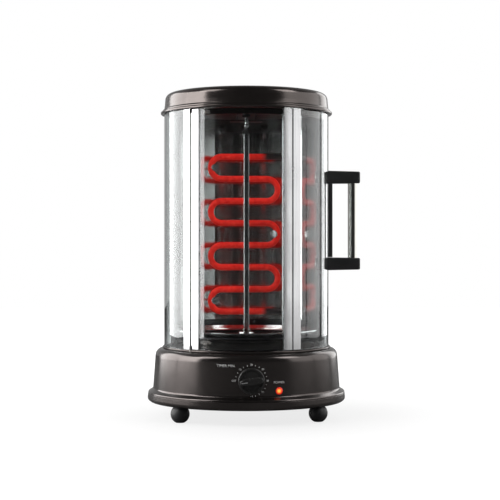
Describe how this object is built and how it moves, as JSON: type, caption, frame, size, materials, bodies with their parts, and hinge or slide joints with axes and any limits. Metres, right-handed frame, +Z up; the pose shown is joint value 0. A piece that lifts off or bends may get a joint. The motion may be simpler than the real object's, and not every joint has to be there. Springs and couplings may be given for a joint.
{
  "type": "vertical rotisserie oven",
  "caption": "Countertop vertical rotisserie oven: a round glazed cage with a hinged door and side handle, a turning spit before a serpentine heater, a drip tray and a timer in the base.",
  "frame": {"origin": "centre of the overall footprint at table level", "axes": "+Z up, -Y towards the front with the timer knob, +X towards the door handle"},
  "size_m": [0.3115, 0.2785, 0.465],
  "materials": {
    "housing_paint": "satin",
    "satin_black": "satin",
    "dark_steel": "satin",
    "aluminium": "polished",
    "glass": "polished",
    "black_plastic": "matte",
    "gloss_black": "gloss",
    "lamp_red": "gloss",
    "rubber": "matte",
    "polished_steel": "polished",
    "chrome": "polished",
    "brass": "satin",
    "ceramic": "matte",
    "glowing_tube": "matte"
  },
  "bodies": {
    "housing": {"base_shell": "housing_paint", "top_cap": "satin_black", "upper_ring": "satin_black", "lower_ring": "satin_black", "tray_carrier": "satin_black", "base_plate": "dark_steel", "gear_motor": "dark_steel", "motor_strap": "dark_steel", "cavity_floor": "dark_steel", "inner_top_plate": "dark_steel", "spit_bracket": "dark_steel", "rear_shell": "dark_steel", "post_hinge_side": "aluminium", "post_left_rear": "aluminium", "post_closing_side": "aluminium", "post_rear": "aluminium", "pane_left": "glass", "timer_body": "black_plastic", "lamp_holder": "black_plastic", "cord_inlet": "black_plastic", "spit_bearing": "black_plastic", "thermal_cutout": "black_plastic", "lamp_lens": "lamp_red", "foot_front_left": "rubber", "foot_front_right": "rubber", "foot_rear_left": "rubber", "foot_rear_right": "rubber", "reflector": "polished_steel", "heater_pin_upper": "polished_steel", "heater_pin_lower": "polished_steel", "heater_pin_middle": "polished_steel", "hinge_pin_lower": "chrome", "hinge_pin_upper": "chrome", "drive_bush": "brass", "insulator_upper": "ceramic", "insulator_lower": "ceramic", "terminal_block": "ceramic", "heater_tube": "glowing_tube"},
    "door": {"door_hinge_stile": "aluminium", "door_pane_front": "glass", "door_mullion": "aluminium", "door_pane_right": "glass", "door_handle_stile": "aluminium", "door_rail_lower": "satin_black", "door_rail_upper": "satin_black", "handle_arm_upper": "black_plastic", "handle_arm_lower": "black_plastic", "handle_grip": "chrome", "handle_back_plate": "black_plastic", "handle_inner_bar": "black_plastic", "handle_screw_upper": "chrome", "handle_screw_lower": "chrome"},
    "drive": {"drive_shaft": "polished_steel", "drive_socket": "chrome"},
    "spit": {"spit_rod": "polished_steel"},
    "timer": {"timer_knob": "gloss_black", "timer_shaft": "brass"},
    "tray": {"drip_tray": "polished_steel"}
  },
  "joints": [
    {"name": "door_hinge", "type": "hinge", "parent": "housing", "child": "door", "pos_m": [-0.09482, -0.08197, 0.267], "axis": [0, 0, -1], "range_deg": [0, 120]},
    {"name": "spit_turn", "type": "hinge", "parent": "housing", "child": "drive", "pos_m": [-0.01284, 0.00594, 0.11], "axis": [0, 0, 1], "continuous": true},
    {"name": "spit_lift", "type": "slide", "parent": "drive", "child": "spit", "axis": [0, 0, 1], "range_m": [0, 0.008]},
    {"name": "timer_turn", "type": "hinge", "parent": "housing", "child": "timer", "pos_m": [-0.01284, -0.129, 0.06243], "axis": [0, 1, 0], "range_deg": [0, 270]},
    {"name": "tray_lift", "type": "slide", "parent": "housing", "child": "tray", "axis": [0, 0, 1], "range_m": [0, 0.008]}
  ]
}
